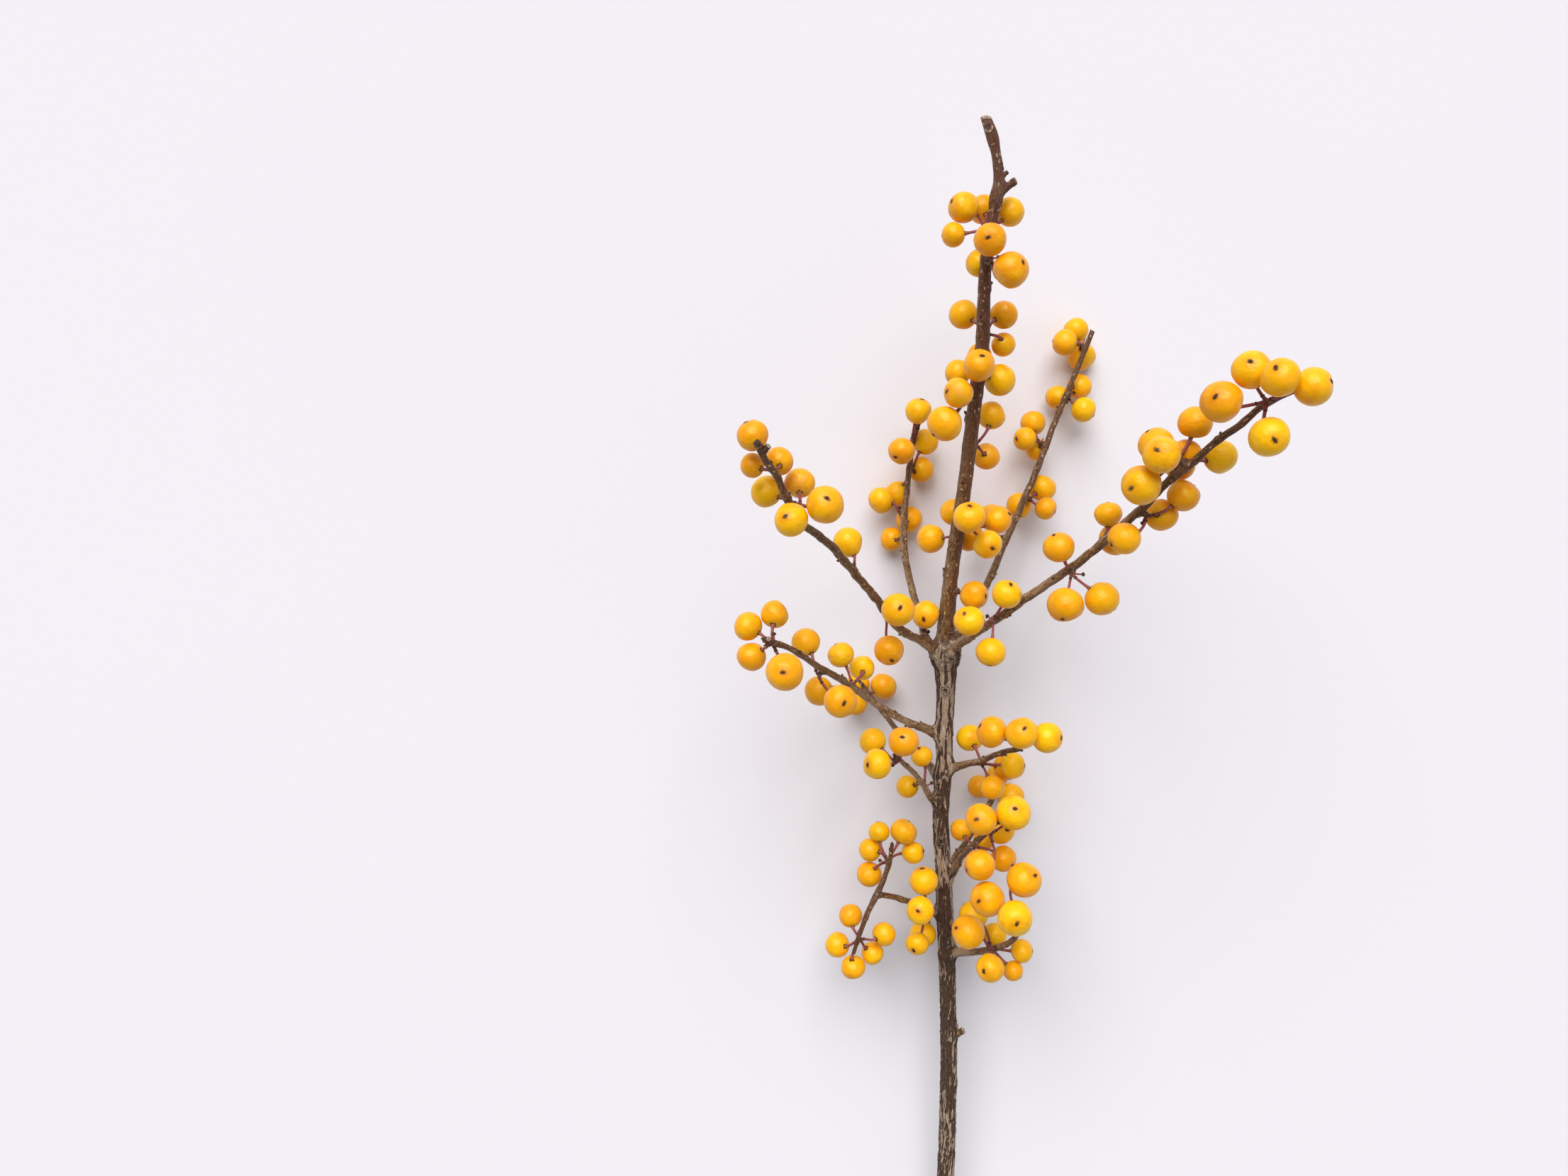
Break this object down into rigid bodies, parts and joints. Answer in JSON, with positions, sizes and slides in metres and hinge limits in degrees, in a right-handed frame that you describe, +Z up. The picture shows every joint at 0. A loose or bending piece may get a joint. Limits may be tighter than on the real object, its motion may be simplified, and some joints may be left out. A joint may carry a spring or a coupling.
{
  "type": "cut winterberry branch",
  "caption": "Leafless cut branch with a forked stem and side shoots, covered with groups of round yellow berries on short stalks; it lies on a flat surface",
  "frame": {"origin": "bottom centre of the bounding box, on the surface that the branch lies on", "axes": "+Y runs from the cut foot to the tip, +Z is up from the surface, X is across"},
  "size_m": [0.1659, 0.6559, 0.1564],
  "materials": {
    "bark_old": "rough fissured bark",
    "bark_young": "smooth bark with pale pores",
    "berry_skin": "waxy satin"
  },
  "bodies": {
    "root": {"main_stem": "bark_old", "left_front_shoot": "bark_young", "right_shoot": "bark_young", "back_left_shoot": "bark_young", "back_right_shoot": "bark_young", "left_middle_twig": "bark_young", "right_middle_twig": "bark_young", "left_small_twig": "bark_young", "right_lower_twig": "bark_young", "right_bottom_twig": "bark_young", "back_middle_twig": "bark_young", "back_lower_twig": "bark_young", "left_lower_twig": "bark_young", "berries_leader_1": "berry_skin", "berries_leader_2": "berry_skin", "berries_leader_3": "berry_skin", "berries_leader_4": "berry_skin", "berries_leader_5": "berry_skin", "berries_leader_6": "berry_skin", "berries_leader_7": "berry_skin", "berries_leader_8": "berry_skin", "berries_leader_9": "berry_skin", "berries_left_front_1": "berry_skin", "berries_left_front_2": "berry_skin", "berries_left_front_3": "berry_skin", "berries_left_front_4": "berry_skin", "berries_back_left_1": "berry_skin", "berries_back_left_2": "berry_skin", "berries_back_left_3": "berry_skin", "berries_back_left_4": "berry_skin", "berries_back_left_5": "berry_skin", "berries_right_1": "berry_skin", "berries_right_2": "berry_skin", "berries_right_3": "berry_skin", "berries_right_4": "berry_skin", "berries_right_5": "berry_skin", "berries_right_6": "berry_skin", "berries_right_7": "berry_skin", "berries_back_right_1": "berry_skin", "berries_back_right_2": "berry_skin", "berries_back_right_3": "berry_skin", "berries_back_right_4": "berry_skin", "berries_back_right_5": "berry_skin", "berries_left_middle_1": "berry_skin", "berries_left_middle_2": "berry_skin", "berries_left_middle_3": "berry_skin", "berries_right_middle_1": "berry_skin", "berries_right_middle_2": "berry_skin", "berries_left_small_1": "berry_skin", "berries_left_small_2": "berry_skin", "berries_right_lower_1": "berry_skin", "berries_right_lower_2": "berry_skin", "berries_right_bottom_1": "berry_skin", "berries_right_bottom_2": "berry_skin", "berries_right_bottom_3": "berry_skin", "berries_left_lower_1": "berry_skin", "berries_left_lower_up_1": "berry_skin", "berries_left_lower_down_1": "berry_skin", "berries_back_middle_1": "berry_skin", "berries_back_lower_1": "berry_skin"}
  },
  "joints": []
}
